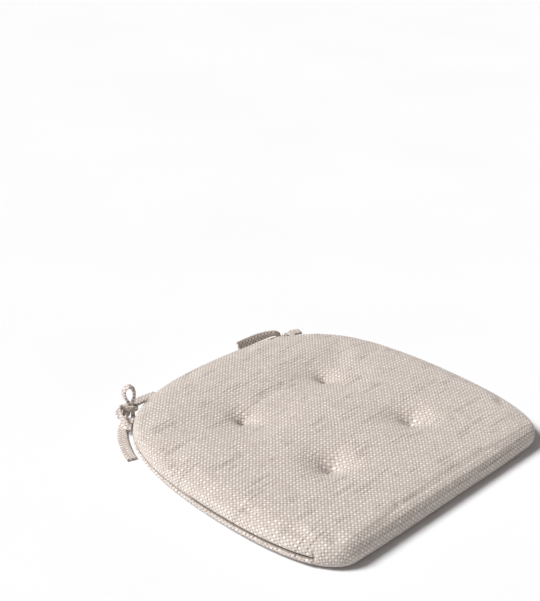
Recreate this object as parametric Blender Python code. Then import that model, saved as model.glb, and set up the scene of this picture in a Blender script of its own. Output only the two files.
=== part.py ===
"""Tufted seat cushion with tie tapes, for a bistro chair.

Metres, +Z up. The cushion lies flat: X runs across the seat, the straight front edge
faces -Y, and the origin is at the middle of the underside. A folded cloth cover holds
two layers of wadding round a foam core; four tufts are tied right through, and two tapes
are sewn into the back seam at each back corner and knotted together.
"""
import math

import bmesh
import bpy
import numpy as np
from mathutils import Matrix, Vector
from mathutils.geometry import interpolate_bezier

# Overall size
WIDTH = 0.420
DEPTH = 0.394
EDGE_HEIGHT = 0.0275          # at the shoulder of the side
CROWN = 0.0055                # extra height in the middle

# Plan: straight front edge, then one curve to the widest point and one to the back
FRONT_CORNER_X = 0.153        # where the straight front edge ends
WIDEST_Y = -0.031
FRONT_HANDLE = 0.032          # curve handles, in the order they are met from the front
SIDE_HANDLE_FRONT = 0.122
SIDE_HANDLE_BACK = 0.182
BACK_HANDLE = 0.152
FRONT_CORNER_STEPS = 8
BACK_CORNER_STEPS = 11

# Side profile: two arcs, one under and one over
LOWER_RADIUS = 0.009
UPPER_RADIUS = 0.012
ARC_STEPS = 2
CROWN_RINGS = 3

# Layers, as distances in from the outer face
CLOTH = 0.0012
SEAM_THREAD_INSET = 0.0021
WADDING_OUTER = 0.0030
WADDING_INNER = 0.0064
FOAM_INSET = 0.0068
SPLIT_HEIGHT = 0.0130         # where the two layers of wadding meet
SPLIT_GAP = 0.0004

# Tufts
TUFT_X = 0.0714
TUFT_Y_BACK = 0.0590
TUFT_Y_FRONT = -0.0795
DIMPLE_FLOOR = 0.0195         # height of the cloth under the top stitch
DIMPLE_RADIUS = 0.025
UNDER_DIMPLE = 0.0030
UNDER_DIMPLE_RADIUS = 0.020
THREAD_HOLE = 0.0014          # radii
THREAD_RADIUS = 0.0009
STITCH_LENGTH = 0.0060
STITCH_RISE = 0.0018
KNOT_RADIUS = 0.0022

# Seams
SEAM_HEIGHT = 0.0120
SEAM_THREAD_RADIUS = 0.0003
CORNER_SEAM_GAP = 0.0012

# Tie tapes, rolled into a round section
TAPE_RADIUS = 0.0022
LEG_OFFSET = 0.0026           # each leg of a bow from the middle of its knot
WRAP_LONG = 0.0078            # half axes of the wrap, round both legs
WRAP_SHORT = 0.0054
WRAP_RISE = 0.0062            # travel of the wrap along the legs in one turn
WRAP_STEPS = 16               # points in a turn
TAPE_STEP = 0.0050
BARTACK_RADIUS = 0.0005
BARTACK_RISE = 0.0018

for old in list(bpy.data.objects):
    bpy.data.objects.remove(old, do_unlink=True)
PARTS = bpy.data.collections.new("seat_cushion")
CUTTERS = bpy.data.collections.new("cutters")
for collection in (PARTS, CUTTERS):
    bpy.context.scene.collection.children.link(collection)


def finish(name, colour, roughness):
    """A Principled material of one colour."""
    material = bpy.data.materials.new(name)
    material.use_nodes = True
    shader = material.node_tree.nodes["Principled BSDF"]
    shader.inputs["Base Color"].default_value = (*colour, 1.0)
    shader.inputs["Roughness"].default_value = roughness
    shader.inputs["Metallic"].default_value = 0.0
    return material


HOPSACK = finish("hopsack_cloth", (0.56, 0.50, 0.46), 0.90)
WADDING = finish("white_wadding", (0.86, 0.86, 0.84), 0.95)
FOAM = finish("cream_foam", (0.84, 0.78, 0.60), 0.85)
THREAD = finish("taupe_thread", (0.42, 0.37, 0.33), 0.70)


def add_object(name, data, material=None):
    """A part in the parts collection, or a cutter when it has no material."""
    obj = bpy.data.objects.new(name, data)
    if material is None:
        CUTTERS.objects.link(obj)
        obj.hide_render = True
        obj.display_type = "WIRE"
    else:
        PARTS.objects.link(obj)
        data.materials.append(material)
    return obj


def plan_outline(inset):
    """Plan curve, anticlockwise from the middle of the front, moved inwards by inset."""
    front, back, side = -DEPTH / 2, DEPTH / 2, WIDTH / 2
    corner = [Vector((FRONT_CORNER_X, front)), Vector((FRONT_CORNER_X + FRONT_HANDLE, front)),
              Vector((side, WIDEST_Y - SIDE_HANDLE_FRONT)), Vector((side, WIDEST_Y))]
    rear = [Vector((side, WIDEST_Y)), Vector((side, WIDEST_Y + SIDE_HANDLE_BACK)),
            Vector((BACK_HANDLE, back)), Vector((0, back))]
    right = [Vector((0, front)), Vector((FRONT_CORNER_X / 2, front))]
    right += [p.xy for p in interpolate_bezier(*[v.to_3d() for v in corner], FRONT_CORNER_STEPS + 1)]
    right += [p.xy for p in interpolate_bezier(*[v.to_3d() for v in rear], BACK_CORNER_STEPS + 1)][1:]
    left = [Vector((-p.x, p.y)) for p in right[-2:0:-1]]
    points = np.array([tuple(p) for p in right + left])
    along = np.roll(points, -1, axis=0) - np.roll(points, 1, axis=0)
    outward = np.column_stack((along[:, 1], -along[:, 0]))
    outward /= np.linalg.norm(outward, axis=1)[:, None]
    return points - inset * outward


def pad_profile(inset):
    """(distance in from the side, height) from the underside up to the shoulder."""
    profile = []
    for centre, radius, start in (((LOWER_RADIUS, LOWER_RADIUS), LOWER_RADIUS - inset, -90),
                                  ((UPPER_RADIUS, EDGE_HEIGHT - UPPER_RADIUS), UPPER_RADIUS - inset, 0)):
        for step in range(ARC_STEPS + 1):
            angle = math.radians(start + 90 * step / ARC_STEPS)
            profile.append((centre[0] - radius * math.cos(angle), centre[1] + radius * math.sin(angle)))
    return profile


def pad_mesh(name, inset):
    """Closed pad: rings up the side profile, then rings shrinking to a crowned top."""
    rings = [np.column_stack((plan_outline(distance), np.full(len(plan_outline(0)), height)))
             for distance, height in pad_profile(inset)]
    shoulder = rings[-1]
    for ring in range(1, CROWN_RINGS + 1):
        scale = 1 - ring / (CROWN_RINGS + 1)
        crowned = shoulder * [scale, scale, 1]
        crowned[:, 2] += CROWN * (1 - scale ** 2)
        rings.append(crowned)
    mesh = bpy.data.meshes.new(name)
    bm = bmesh.new()
    loops = [[bm.verts.new(point) for point in ring] for ring in rings]
    top = bm.verts.new((0, 0, EDGE_HEIGHT - inset + CROWN))
    bm.faces.new(loops[0][::-1])
    count = len(loops[0])
    for lower, upper in zip(loops, loops[1:]):
        for i in range(count):
            j = (i + 1) % count
            bm.faces.new((lower[i], lower[j], upper[j], upper[i]))
    for i in range(count):
        bm.faces.new((loops[-1][i], loops[-1][(i + 1) % count], top))
    bmesh.ops.recalc_face_normals(bm, faces=bm.faces)
    bm.to_mesh(mesh)
    bm.free()
    return mesh


def tuft_places():
    """Name and place of each tuft."""
    return [(f"{row}_{side}", sign * TUFT_X, y)
            for row, y in (("front", TUFT_Y_FRONT), ("back", TUFT_Y_BACK))
            for side, sign in (("left", -1), ("right", 1))]


def dimple_cutter(inset):
    """Spheres that press every tuft's dimple into a layer, from above and from below."""
    bm = bmesh.new()
    for _, x, y in tuft_places():
        for height, radius in ((DIMPLE_FLOOR + DIMPLE_RADIUS, DIMPLE_RADIUS + inset),
                               (UNDER_DIMPLE - UNDER_DIMPLE_RADIUS, UNDER_DIMPLE_RADIUS + inset)):
            bmesh.ops.create_uvsphere(bm, u_segments=10, v_segments=12, radius=radius,
                                      matrix=Matrix.Translation((x, y, height)))
    mesh = bpy.data.meshes.new("dimples")
    bm.to_mesh(mesh)
    bm.free()
    return add_object(f"dimples_{inset * 1000:.1f}", mesh)


def hole_cutter():
    """Rods that bore the four thread holes."""
    bm = bmesh.new()
    for _, x, y in tuft_places():
        bmesh.ops.create_cone(bm, cap_ends=True, segments=8, radius1=THREAD_HOLE, radius2=THREAD_HOLE,
                              depth=0.1, matrix=Matrix.Translation((x, y, EDGE_HEIGHT / 2)))
    mesh = bpy.data.meshes.new("thread_holes")
    bm.to_mesh(mesh)
    bm.free()
    return add_object("thread_holes", mesh)


def half_space(name, top):
    """A block over or under the split between the two layers of wadding."""
    bm = bmesh.new()
    height = 0.1
    middle = SPLIT_HEIGHT + (1 if top else -1) * (height - SPLIT_GAP) / 2
    bmesh.ops.create_cube(bm, size=1.0, matrix=Matrix.Translation((0, 0, middle)) @
                          Matrix.Diagonal((0.6, 0.6, height, 1.0)))
    mesh = bpy.data.meshes.new(name)
    bm.to_mesh(mesh)
    bm.free()
    return add_object(name, mesh)


def cut(obj, cutter, operation="DIFFERENCE"):
    """One exact Boolean against a cutter."""
    modifier = obj.modifiers.new(cutter.name, "BOOLEAN")
    modifier.operation = operation
    modifier.solver = "EXACT"
    modifier.object = cutter


def pad_layer(name, inset, material=None):
    """A dimpled pad whose faces lie inset within the outer one."""
    layer = add_object(name, pad_mesh(name, inset), material)
    cut(layer, dimple_cutter(inset))
    return layer


HOLES = hole_cutter()
WADDING_VOID = pad_layer("wadding_void", WADDING_INNER)

cover = pad_layer("cover_cloth", 0.0, HOPSACK)
cut(cover, pad_layer("cover_void", CLOTH))
cut(cover, HOLES)

for layer_name, cut_top in (("wadding_upper", False), ("wadding_lower", True)):
    wadding = pad_layer(layer_name, WADDING_OUTER, WADDING)
    cut(wadding, WADDING_VOID)
    cut(wadding, half_space(f"{layer_name}_split", cut_top))
    cut(wadding, HOLES)

foam = pad_layer("foam_core", FOAM_INSET, FOAM)
cut(foam, HOLES)


def tuft_thread(name, x, y):
    """Knot under the cushion, thread up through it and a short stitch across the dimple."""
    bm = bmesh.new()
    bottom = KNOT_RADIUS / 2
    top = DIMPLE_FLOOR + STITCH_RISE
    bmesh.ops.create_cone(bm, cap_ends=True, segments=8, radius1=THREAD_RADIUS, radius2=THREAD_RADIUS,
                          depth=top - bottom, matrix=Matrix.Translation((x, y, (top + bottom) / 2)))
    mesh = bpy.data.meshes.new(name)
    bm.to_mesh(mesh)
    bm.free()
    thread = add_object(name, mesh, THREAD)
    for end, matrix, radius in (
            ("knot", Matrix.Translation((x, y, bottom + 0.0004)) @ Matrix.Diagonal((1, 1, 0.5, 1)), KNOT_RADIUS),
            ("stitch", Matrix.Translation((x, y, top)) @
             Matrix.Diagonal((STITCH_LENGTH / THREAD_RADIUS / 2, 1.2, 1, 1)), THREAD_RADIUS)):
        bm = bmesh.new()
        bmesh.ops.create_uvsphere(bm, u_segments=10, v_segments=8, radius=radius, matrix=matrix)
        mesh = bpy.data.meshes.new(f"{name}_{end}")
        bm.to_mesh(mesh)
        bm.free()
        cut(thread, add_object(f"{name}_{end}", mesh), "UNION")


for place, tuft_x, tuft_y in tuft_places():
    tuft_thread(f"tuft_thread_{place}", tuft_x, tuft_y)


def tube(name, points, radius, sides, material):
    """A round cord with closed ends along a polyline."""
    curve = bpy.data.curves.new(name, "CURVE")
    curve.dimensions = "3D"
    curve.bevel_depth = radius
    curve.bevel_resolution = sides
    curve.use_fill_caps = True
    spline = curve.splines.new("POLY")
    spline.points.add(len(points) - 1)
    for control, point in zip(spline.points, points):
        control.co = (*point, 1.0)
    return add_object(name, curve, material)


# Machine seams: the left side, the right side and the closed back run round the plan
# inside the cloth, and a short upright seam boxes each front corner.
OUTLINE = plan_outline(SEAM_THREAD_INSET)
FRONT_END = 5                               # outline points from the middle of the front
BACK_END = 2 + FRONT_CORNER_STEPS + 6       # where a side seam hands over to the back seam
COUNT = len(OUTLINE)


def seam_points(first, last, trim):
    """The outline between two of its points at seam height, each end cut back by trim."""
    points = np.column_stack((OUTLINE[first:last + 1], np.full(last + 1 - first, SEAM_HEIGHT)))
    for end, inner in ((0, 1), (-1, -2)):
        step = points[inner] - points[end]
        points[end] += step / np.linalg.norm(step) * trim
    return points


for seam_name, first, last in (("side_seam_right", FRONT_END, BACK_END),
                               ("back_seam", BACK_END, COUNT - BACK_END),
                               ("side_seam_left", COUNT - BACK_END, COUNT - FRONT_END)):
    tube(seam_name, seam_points(first, last, CORNER_SEAM_GAP), SEAM_THREAD_RADIUS, 1, THREAD)
for seam_name, index in (("corner_seam_right", FRONT_END), ("corner_seam_left", COUNT - FRONT_END)):
    corner_x, corner_y = OUTLINE[index]
    tube(seam_name, [(corner_x, corner_y, z) for z in (LOWER_RADIUS, SEAM_HEIGHT, EDGE_HEIGHT - UPPER_RADIUS)],
         SEAM_THREAD_RADIUS, 1, THREAD)


# Bar tacks: a thick short stitch over each pair of tape ends, just above the back seam
def bartack_points(index, sign):
    """Middle half of the outline step where a pair of tapes is sewn in."""
    start, end = OUTLINE[index], OUTLINE[index + sign]
    return [(*(start + (end - start) * share), SEAM_HEIGHT + BARTACK_RISE) for share in (0.2, 0.8)]


tube("bartack_right", bartack_points(BACK_END, -1), BARTACK_RADIUS, 1, THREAD)
tube("bartack_left", bartack_points(COUNT - BACK_END, 1), BARTACK_RADIUS, 1, THREAD)


# Tie tapes. At each back corner one tape runs through the knot, turns back as a loop
# and returns through it; the other is wound once round both legs of the loop.
def wrap_points(centre, along, across, turns, start):
    """Oval turns about the line along, through centre; across is the long way of the oval."""
    along = Vector(along).normalized()
    across = Vector(across).normalized()
    third = along.cross(across)
    points = []
    for step in range(round(abs(turns) * WRAP_STEPS) + 1):
        share = step / round(abs(turns) * WRAP_STEPS)
        angle = start + 2 * math.pi * turns * share
        points.append(tuple(Vector(centre) + across * (WRAP_LONG * math.cos(angle)) +
                            third * (WRAP_SHORT * math.sin(angle)) +
                            along * ((share - 0.5) * WRAP_RISE * abs(turns))))
    return points


def smooth_route(points):
    """Catmull-Rom curve through the points, with a chord of about TAPE_STEP or less."""
    knots = np.array([2 * np.array(points[0]) - points[1], *points, 2 * np.array(points[-1]) - points[-2]])
    route = []
    for before, start, end, after in zip(knots, knots[1:], knots[2:], knots[3:]):
        spans = [math.sqrt(np.linalg.norm(b - a)) for a, b in ((before, start), (start, end), (end, after))]
        t0, t1, t2, t3 = 0, spans[0], spans[0] + spans[1], sum(spans)
        steps = max(1, round(np.linalg.norm(end - start) / TAPE_STEP))
        for t in np.linspace(t1, t2, steps, endpoint=False):
            a1 = (before * (t1 - t) + start * (t - t0)) / (t1 - t0)
            a2 = (start * (t2 - t) + end * (t - t1)) / (t2 - t1)
            a3 = (end * (t3 - t) + after * (t - t2)) / (t3 - t2)
            b1 = (a1 * (t2 - t) + a2 * (t - t0)) / (t2 - t0)
            b2 = (a2 * (t3 - t) + a3 * (t - t1)) / (t3 - t1)
            route.append((b1 * (t2 - t) + b2 * (t - t1)) / (t2 - t1))
    return route + [knots[-2]]


# Left knot: upright, its long way pointing out of the corner
LEFT_KNOT = Vector((-0.1395, 0.1815, 0.0170))
LEFT_ACROSS = Vector((-0.700, 0.714, 0.0)).normalized()


def left_leg(side, height):
    """A point on the left bow's leg, on the cushion's side (-1) or the outer side (1)."""
    return tuple((LEFT_KNOT + LEFT_ACROSS * LEG_OFFSET * side).xy) + (height,)


LEFT_LOOP = [(-0.1497, 0.1629, 0.0120), (-0.1518, 0.1672, 0.0095), (-0.1500, 0.1712, 0.0050),
             (-0.1450, 0.1745, 0.0030), (-0.1392, 0.1776, 0.0046),
             left_leg(-1, 0.0095), left_leg(-1, 0.0170), left_leg(-1, 0.0245),
             (-0.1355, 0.1785, 0.0340), (-0.1365, 0.1790, 0.0430), (-0.1405, 0.1815, 0.0475),
             (-0.1450, 0.1850, 0.0430), (-0.1450, 0.1860, 0.0340),
             left_leg(1, 0.0245), left_leg(1, 0.0170), left_leg(1, 0.0095),
             (-0.1435, 0.1858, 0.0050), (-0.1465, 0.1915, 0.0030), (-0.1430, 0.1995, 0.0028),
             (-0.1330, 0.2050, 0.0028), (-0.1180, 0.2070, 0.0028), (-0.1000, 0.2075, 0.0028),
             (-0.0800, 0.2060, 0.0028)]
LEFT_WRAP = [(-0.1607, 0.1534, 0.0120), (-0.1645, 0.1585, 0.0135), (-0.1615, 0.1715, 0.0170),
             (-0.1560, 0.1810, 0.0195), (-0.1500, 0.1862, 0.0203),
             *wrap_points(LEFT_KNOT, (0, 0, -1), LEFT_ACROSS, -330 / 360, math.radians(-60)),
             (-0.1520, 0.1808, 0.0112), (-0.1585, 0.1752, 0.0070), (-0.1645, 0.1685, 0.0034),
             (-0.1715, 0.1590, 0.0028), (-0.1790, 0.1480, 0.0028), (-0.1860, 0.1350, 0.0028),
             (-0.1920, 0.1225, 0.0028), (-0.1960, 0.1110, 0.0028)]

# Right knot: lying along the back edge, its legs one over the other
RIGHT_KNOT = Vector((0.1293, 0.1841, 0.0118))
RIGHT_ALONG = Vector((-0.897, 0.442, 0.0)).normalized()
RIGHT_OUT = Vector((0.442, 0.897, 0.0)).normalized()


def right_leg(along, out, height):
    """A point placed from the right knot, along its legs and outwards from the cushion."""
    return tuple((RIGHT_KNOT + RIGHT_ALONG * along + RIGHT_OUT * out).xy) + (height,)


RIGHT_LOOP = [(0.1496, 0.1629, 0.0120), (0.1530, 0.1675, 0.0112), (0.1500, 0.1745, 0.0095),
              right_leg(-0.010, 0, 0.0092), right_leg(-0.005, 0, 0.0092), right_leg(0.005, 0, 0.0092),
              right_leg(0.012, 0.001, 0.0080),
              (0.1080, 0.1960, 0.0040), (0.0960, 0.2000, 0.0030), (0.0885, 0.2050, 0.0030),
              (0.0930, 0.2120, 0.0032), (0.1050, 0.2110, 0.0050), (0.1140, 0.2010, 0.0095),
              right_leg(0.009, 0.001, 0.0138), right_leg(0.004, 0, 0.0144), right_leg(-0.005, 0, 0.0144),
              right_leg(-0.012, 0.001, 0.0143),
              (0.1470, 0.1850, 0.0130), (0.1535, 0.1930, 0.0085), (0.1590, 0.2000, 0.0038),
              (0.1670, 0.2030, 0.0028), (0.1760, 0.1990, 0.0028)]
RIGHT_WRAP = [(0.1607, 0.1534, 0.0120), (0.1655, 0.1585, 0.0100), (0.1655, 0.1700, 0.0045),
              (0.1580, 0.1830, 0.0030), (0.1470, 0.1905, 0.0036),
              *wrap_points(RIGHT_KNOT, RIGHT_ALONG, (0, 0, 1), -410 / 360, math.radians(120)),
              (0.1220, 0.1930, 0.0205), (0.1110, 0.1985, 0.0205), (0.0960, 0.2030, 0.0190),
              (0.0800, 0.2055, 0.0175), (0.0640, 0.2065, 0.0165)]

for tape_name, tape_route in (("tie_left_loop", LEFT_LOOP), ("tie_left_wrap", LEFT_WRAP),
                              ("tie_right_loop", RIGHT_LOOP), ("tie_right_wrap", RIGHT_WRAP)):
    tube(tape_name, smooth_route(tape_route), TAPE_RADIUS, 2, HOPSACK)
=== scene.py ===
"""Tufted seat cushion with knotted tie tapes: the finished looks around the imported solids."""
import math

import bpy
import numpy as np
from mathutils import Matrix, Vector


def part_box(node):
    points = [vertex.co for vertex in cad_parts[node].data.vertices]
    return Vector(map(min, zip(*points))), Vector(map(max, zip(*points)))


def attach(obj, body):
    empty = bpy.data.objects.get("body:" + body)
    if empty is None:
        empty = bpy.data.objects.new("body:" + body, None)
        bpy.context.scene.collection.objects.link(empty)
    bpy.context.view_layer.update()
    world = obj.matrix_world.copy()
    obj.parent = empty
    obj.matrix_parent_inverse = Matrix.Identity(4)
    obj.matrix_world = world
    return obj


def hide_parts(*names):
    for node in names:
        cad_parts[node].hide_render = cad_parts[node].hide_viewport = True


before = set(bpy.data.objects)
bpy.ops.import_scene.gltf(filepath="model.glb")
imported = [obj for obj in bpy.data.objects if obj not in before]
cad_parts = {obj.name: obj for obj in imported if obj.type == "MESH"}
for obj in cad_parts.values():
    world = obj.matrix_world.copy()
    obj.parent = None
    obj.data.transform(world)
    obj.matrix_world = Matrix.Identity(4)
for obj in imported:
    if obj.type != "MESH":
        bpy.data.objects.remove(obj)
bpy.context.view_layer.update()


# ----------------------------------------------------------
# Foam core
# A slab of cream polyurethane foam cut to the seat's plan: straight at the front, bowed
# at the sides and round at the back. The tufts squeeze it to a few millimetres.
low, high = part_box("cover_cloth")
HALF_WIDTH = (high[0] - low[0]) / 2
HALF_DEPTH = (high[1] - low[1]) / 2
EDGE_HEIGHT = 0.0275                # top of the side wall, where the crown begins
CROWN = high[2] - EDGE_HEIGHT
FRONT_CORNER_X = 0.153              # end of the straight front edge
WIDEST_Y = -0.031
FRONT_HANDLE = 0.032                # plan curve handles, met in this order from the front
SIDE_HANDLE_FRONT = 0.122
SIDE_HANDLE_BACK = 0.182
BACK_HANDLE = 0.152
UPPER_RADIUS = 0.012                # the wall's top and bottom rounding
LOWER_RADIUS = 0.009
UPPER_ARC = UPPER_RADIUS * math.pi / 2
LOWER_ARC = LOWER_RADIUS * math.pi / 2
WALL_LENGTH = UPPER_ARC + LOWER_ARC + EDGE_HEIGHT - UPPER_RADIUS - LOWER_RADIUS
SEAM_HEIGHT = 0.0120
SEAM_DOWN = UPPER_ARC + EDGE_HEIGHT - UPPER_RADIUS - SEAM_HEIGHT
CORNER_SEAM_Y = -0.167              # where the upright corner seams meet the plan
BACK_CORNER_Y = 0.160               # where the rows of cloth turn the back corners
TUFT_X = 0.0714
TUFT_ROWS = (-0.0795, 0.0590)
TUFTS = [(x, y) for x in (-TUFT_X, TUFT_X) for y in TUFT_ROWS]
# The grid bends with the plan, so its fine lines are spaced as on a pad COLUMN_GIVE narrower
# with tufts ROW_GIVE further back, and then run close to the tufts
COLUMN_GIVE = 0.030
ROW_GIVE = 0.012
TUFT_TIP = 0.003                    # rounding at the tip of a hollow
TOP_HOLLOW = 0.0125
UNDER_HOLLOW = 0.0030
HOLLOW_SPREAD = 0.014               # distance in which a hollow falls to about a third
UNDER_SPREAD = 0.7                  # share of that spread underneath
CROWN_POWER = 0.85
LEAN = math.radians(-45)            # the way in which a hollow eases off
EASE_DEPTH = 0.0018
EASE_REACH = 0.013
EASE_CENTRE = 0.8                   # in reaches, ahead of the tuft
BROW_RISE = 0.0010
BROW_REACH = 0.008
BROW_CENTRE = 1.4                   # in reaches, behind the tuft
VALLEY_DEPTH = 0.0010
VALLEY_WIDTH = 0.0075
VALLEY_BOW = 0.016
VALLEY_MIDDLE = 0.4                 # share of its depth half way between the tufts
NORMAL_STEP = 0.002                 # along the plan, to either side of the place
FOAM_INSET = 0.0075
FOAM_CELL = 0.008
PALE_FOAM = (0.87, 0.81, 0.62, 1)
YELLOWED_FOAM = (0.78, 0.68, 0.44, 1)
PORE_DEPTH = 0.0006


def plan_line(steps=400):
    """Closed plan, anticlockwise from the middle of the front: a straight run, one cubic
    curve to the widest point and one to the back, then the same mirrored."""
    def cubic(*handles):
        t = np.linspace(0, 1, steps)[:, None]
        a, b, c, d = (np.array(handle) for handle in handles)
        return a * (1 - t) ** 3 + 3 * b * t * (1 - t) ** 2 + 3 * c * t ** 2 * (1 - t) + d * t ** 3

    front = np.column_stack((np.linspace(0, FRONT_CORNER_X, steps), np.full(steps, -HALF_DEPTH)))
    corner = cubic((FRONT_CORNER_X, -HALF_DEPTH), (FRONT_CORNER_X + FRONT_HANDLE, -HALF_DEPTH),
                   (HALF_WIDTH, WIDEST_Y - SIDE_HANDLE_FRONT), (HALF_WIDTH, WIDEST_Y))
    back = cubic((HALF_WIDTH, WIDEST_Y), (HALF_WIDTH, WIDEST_Y + SIDE_HANDLE_BACK),
                 (BACK_HANDLE, HALF_DEPTH), (0, HALF_DEPTH))
    half = np.vstack((front, corner[1:], back[1:]))
    return np.vstack((half, (half * [-1, 1])[-2::-1]))


PLAN = plan_line()
PLAN_RUN = np.concatenate(([0], np.cumsum(np.linalg.norm(np.diff(PLAN, axis=0), axis=1))))
PLAN_LENGTH = PLAN_RUN[-1]


def plan_at(run):
    """Points and outward normals at distances run along the plan, anticlockwise."""
    def place(distance):
        wrapped = np.mod(distance, PLAN_LENGTH)
        return np.column_stack([np.interp(wrapped, PLAN_RUN, PLAN[:, k]) for k in (0, 1)])

    ahead, behind = place(run + NORMAL_STEP), place(run - NORMAL_STEP)
    outward = np.column_stack((ahead[:, 1] - behind[:, 1], behind[:, 0] - ahead[:, 0]))
    return place(run), outward / np.linalg.norm(outward, axis=1)[:, None]


def run_at(y):
    """Distance along the plan at which its right side passes y."""
    side = (PLAN[:, 0] > 0) & (PLAN_RUN < PLAN_LENGTH / 2)
    return float(np.interp(y, PLAN[side, 1], PLAN_RUN[side]))


CORNER_RUN, BACK_RUN = run_at(CORNER_SEAM_Y), run_at(BACK_CORNER_Y)


def wall_profile(down, inset):
    """Distance in from the plan and height of a layer, inset within the pad, at a distance
    down over the wall: a quarter circle, a straight run and a smaller quarter circle."""
    upper = np.clip(down / UPPER_RADIUS, 0, math.pi / 2)
    lower = np.clip((down - WALL_LENGTH + LOWER_ARC) / LOWER_RADIUS, 0, math.pi / 2)
    straight = np.clip(down - UPPER_ARC, 0, WALL_LENGTH - UPPER_ARC - LOWER_ARC)
    if np.any(lower > 0):
        return LOWER_RADIUS - (LOWER_RADIUS - inset) * np.cos(lower), \
            LOWER_RADIUS - (LOWER_RADIUS - inset) * np.sin(lower)
    return UPPER_RADIUS - (UPPER_RADIUS - inset) * np.sin(upper), \
        EDGE_HEIGHT - UPPER_RADIUS + (UPPER_RADIUS - inset) * np.cos(upper) - straight


def stations(length, cell, fine, near):
    """Places from 0 to length about a cell apart, with two fine steps either side of each
    centre in near."""
    places = np.linspace(0, length, round(length / cell) + 1)
    for centre in near:
        places = places[np.abs(places - centre) > 3 * fine]
        places = np.concatenate((places, centre + fine * np.arange(-2, 3)))
    places = np.sort(places[(places > -fine / 2) & (places < length + fine / 2)])
    places[[0, -1]] = 0, length
    return places


def hollows(x, y, depth, spread):
    """Depth of the tufts' hollows: a cone at each with a rounded tip, dying away outwards."""
    total = np.zeros_like(x)
    for tuft_x, tuft_y in TUFTS:
        radius = np.sqrt((x - tuft_x) ** 2 + (y - tuft_y) ** 2 + TUFT_TIP ** 2) - TUFT_TIP
        total += depth * np.exp(-radius / spread)
    return total


def leaning(x, y):
    """Depth added round the tufts, as bell curves: each hollow eases off towards the front
    right and has a low brow on its other side, and a shallow valley bows back between the
    two tufts of a row."""
    total = np.zeros_like(x)
    for row_y in TUFT_ROWS:
        between = np.clip(x / TUFT_X, -1, 1)
        valley = y - row_y - VALLEY_BOW * (1 - between ** 2)
        share = VALLEY_MIDDLE + (1 - VALLEY_MIDDLE) * between ** 2
        total += VALLEY_DEPTH * np.exp(-(valley / VALLEY_WIDTH) ** 2) * share * (np.abs(x) < TUFT_X)
    for tuft_x, tuft_y in TUFTS:
        ahead = (x - tuft_x) * math.cos(LEAN) + (y - tuft_y) * math.sin(LEAN)
        aside = (y - tuft_y) * math.cos(LEAN) - (x - tuft_x) * math.sin(LEAN)
        total += EASE_DEPTH * np.exp(-((ahead / EASE_REACH - EASE_CENTRE) ** 2 + (aside / EASE_REACH) ** 2))
        total -= BROW_RISE * np.exp(-((ahead / BROW_REACH + BROW_CENTRE) ** 2 +
                                      (aside / BROW_REACH) ** 2 / 2))
    return total


def band(rings):
    """Faces between closed rings of points that follow each other, as four numbers each."""
    return np.stack((rings[:-1], rings[1:], np.roll(rings[1:], -1, 1), np.roll(rings[:-1], -1, 1)),
                    -1).reshape(-1, 4)


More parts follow.
